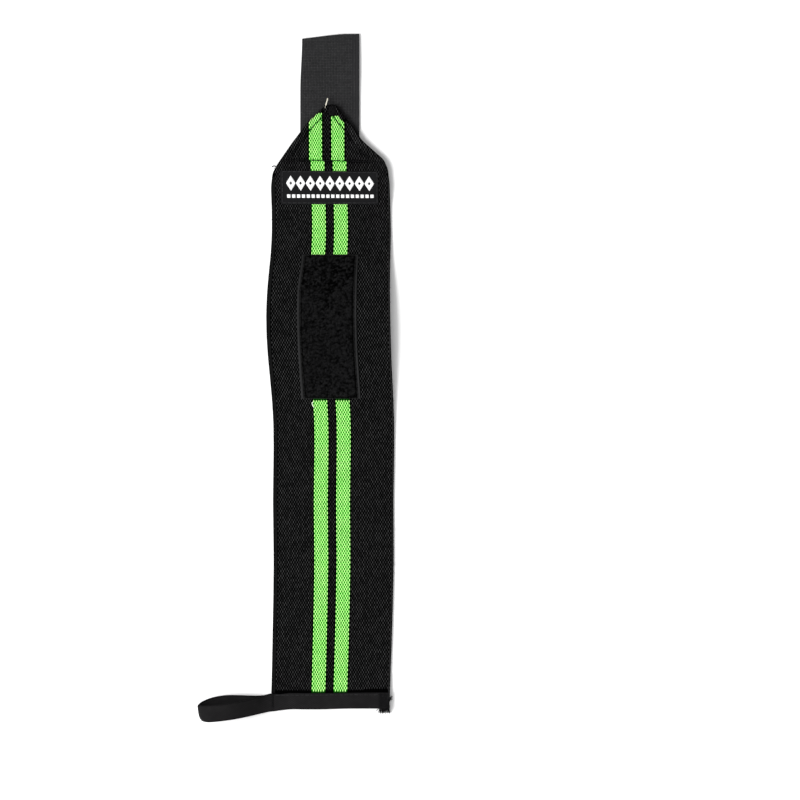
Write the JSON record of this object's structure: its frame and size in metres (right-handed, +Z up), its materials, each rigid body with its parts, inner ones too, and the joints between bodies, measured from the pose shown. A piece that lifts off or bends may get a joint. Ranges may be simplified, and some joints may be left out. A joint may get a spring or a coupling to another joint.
{
  "type": "wrist wrap",
  "caption": "Flat elastic wrist wrap with woven stripes, a pointed end with a hook strap, a loop patch, a woven label and a tape thumb loop.",
  "frame": {"origin": "centre of the wrap's footprint on the surface that it lies on", "axes": "+X to the right seen from above, away from the thumb loop, +Y along the band towards the hook strap, +Z up out of the outer face"},
  "size_m": [0.118, 0.4148, 0.0171],
  "materials": {
    "band_weave": "black woven elastic, matt",
    "stripe_yarn": "bright green woven elastic, matt",
    "hook_tape": "charcoal woven nylon hook tape, low sheen",
    "loop_pile": "black brushed loop pile, matt",
    "label_satin": "black woven satin, low sheen",
    "binding_tape": "black plush elastic tape, satin sheen"
  },
  "bodies": {
    "root": {"elastic_band": "band_weave", "stripe_left": "stripe_yarn", "stripe_right": "stripe_yarn", "hook_strap": "hook_tape", "loop_patch": "loop_pile", "woven_label": "label_satin", "thumb_loop_tape": "binding_tape"}
  },
  "joints": []
}
